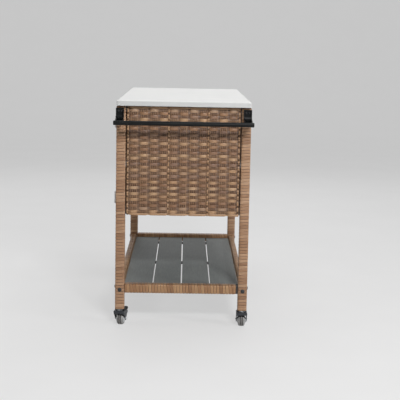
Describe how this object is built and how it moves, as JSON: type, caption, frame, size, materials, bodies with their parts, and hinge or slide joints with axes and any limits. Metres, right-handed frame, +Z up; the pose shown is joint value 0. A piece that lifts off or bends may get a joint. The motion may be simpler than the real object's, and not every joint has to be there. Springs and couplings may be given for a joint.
{
  "type": "rolling bar cart",
  "caption": "Rolling bar cart with a wicker-wrapped frame, woven cabinet with hinged doors, pale tabletop, slatted lower deck, end handle bar and swivel casters.",
  "frame": {"origin": "on the floor, under the middle of the cart's bounding box", "axes": "+Z up, +Y along the cart's length away from the handle end, +X across its width, to the right seen from the handle; the doors face -X"},
  "size_m": [0.548, 1.1694, 0.91],
  "materials": {
    "tabletop": "pale composite board, satin",
    "wicker_wrap": "flat wicker strand, satin",
    "wicker_weave": "mixed brown and grey wicker strand, satin",
    "frame_steel": "black powder coat",
    "door_frame": "black powder coat on aluminium bar",
    "black_plastic": "moulded, matt",
    "deck_slats": "grey composite board, matt",
    "cabinet_board": "grey composite board, matt",
    "handle_metal": "black coat, satin",
    "dark_screws": "blackened, satin",
    "catch_plastic": "moulded, matt",
    "bright_steel": "zinc plated",
    "fork_steel": "zinc plated sheet",
    "wheel_rubber": "grey rubber, matt",
    "pedal_plastic": "moulded, matt"
  },
  "bodies": {
    "cart": {"tabletop": "tabletop", "post_front_left": "wicker_wrap", "post_front_right": "wicker_wrap", "post_back_left": "wicker_wrap", "post_back_right": "wicker_wrap", "lower_rail_front": "wicker_wrap", "lower_rail_back": "wicker_wrap", "lower_rail_left": "wicker_wrap", "lower_rail_right": "wicker_wrap", "woven_end_front": "wicker_weave", "woven_end_back": "wicker_weave", "woven_side_right": "wicker_weave", "post_tubes": "frame_steel", "lower_rail_tubes": "frame_steel", "top_rails_end": "frame_steel", "top_rails_side": "frame_steel", "cabinet_rails_end": "frame_steel", "cabinet_rails_side": "frame_steel", "deck_supports": "frame_steel", "caster_inserts": "black_plastic", "rail_end_plugs": "black_plastic", "deck_slat_1": "deck_slats", "deck_slat_2": "deck_slats", "deck_slat_3": "deck_slats", "deck_slat_4": "deck_slats", "cabinet_floor": "cabinet_board", "cabinet_shelf": "cabinet_board", "handle_bracket_left": "handle_metal", "handle_bracket_right": "handle_metal", "handle_bar": "handle_metal", "frame_bolts": "dark_screws", "handle_screws": "dark_screws", "door_catch": "catch_plastic", "shelf_brackets": "bright_steel", "hinge_posts": "bright_steel", "caster_stems": "bright_steel"},
    "door_front": {"door_front_frame": "door_frame", "door_front_weave": "wicker_weave", "door_front_pull": "handle_metal", "door_front_hinges": "bright_steel"},
    "door_back": {"door_back_frame": "door_frame", "door_back_weave": "wicker_weave", "door_back_pull": "handle_metal", "door_back_hinges": "bright_steel"},
    "caster_front_left": {"fork_front_left": "fork_steel", "axle_front_left": "bright_steel"},
    "wheel_front_left": {"wheel_front_left": "wheel_rubber"},
    "brake_front_left": {"brake_front_left": "pedal_plastic"},
    "caster_front_right": {"fork_front_right": "fork_steel", "axle_front_right": "bright_steel"},
    "wheel_front_right": {"wheel_front_right": "wheel_rubber"},
    "caster_back_left": {"fork_back_left": "fork_steel", "axle_back_left": "bright_steel"},
    "wheel_back_left": {"wheel_back_left": "wheel_rubber"},
    "caster_back_right": {"fork_back_right": "fork_steel", "axle_back_right": "bright_steel"},
    "wheel_back_right": {"wheel_back_right": "wheel_rubber"},
    "brake_back_right": {"brake_back_right": "pedal_plastic"}
  },
  "joints": [
    {"name": "door_front_hinge", "type": "hinge", "parent": "cart", "child": "door_front", "pos_m": [-0.2689, -0.43588, 0.671], "axis": [0, 0, 1], "range_deg": [0, 110]},
    {"name": "door_back_hinge", "type": "hinge", "parent": "cart", "child": "door_back", "pos_m": [-0.2689, 0.49962, 0.671], "axis": [0, 0, -1], "range_deg": [0, 110]},
    {"name": "swivel_front_left", "type": "hinge", "parent": "cart", "child": "caster_front_left", "pos_m": [-0.246, -0.45713, 0.063], "axis": [0, 0, 1], "continuous": true},
    {"name": "roll_front_left", "type": "hinge", "parent": "caster_front_left", "child": "wheel_front_left", "pos_m": [-0.24226, -0.43953, 0.025], "axis": [0.9781, -0.2079, 0], "continuous": true},
    {"name": "pedal_front_left", "type": "hinge", "parent": "caster_front_left", "child": "brake_front_left", "pos_m": [-0.23809, -0.41991, 0.0489], "axis": [-0.9781, 0.2079, 0], "range_deg": [0, 20]},
    {"name": "swivel_front_right", "type": "hinge", "parent": "cart", "child": "caster_front_right", "pos_m": [0.246, -0.45713, 0.063], "axis": [0, 0, 1], "continuous": true},
    {"name": "roll_front_right", "type": "hinge", "parent": "caster_front_right", "child": "wheel_front_right", "pos_m": [0.246, -0.43913, 0.025], "axis": [1, 0, 0], "continuous": true},
    {"name": "swivel_back_left", "type": "hinge", "parent": "cart", "child": "caster_back_left", "pos_m": [-0.246, 0.52087, 0.063], "axis": [0, 0, 1], "continuous": true},
    {"name": "roll_back_left", "type": "hinge", "parent": "caster_back_left", "child": "wheel_back_left", "pos_m": [-0.246, 0.53887, 0.025], "axis": [1, 0, 0], "continuous": true},
    {"name": "swivel_back_right", "type": "hinge", "parent": "cart", "child": "caster_back_right", "pos_m": [0.246, 0.52087, 0.063], "axis": [0, 0, 1], "continuous": true},
    {"name": "roll_back_right", "type": "hinge", "parent": "caster_back_right", "child": "wheel_back_right", "pos_m": [0.246, 0.53887, 0.025], "axis": [1, 0, 0], "continuous": true},
    {"name": "pedal_back_right", "type": "hinge", "parent": "caster_back_right", "child": "brake_back_right", "pos_m": [0.246, 0.55892, 0.0489], "axis": [-1, 0, 0], "range_deg": [0, 20]}
  ]
}
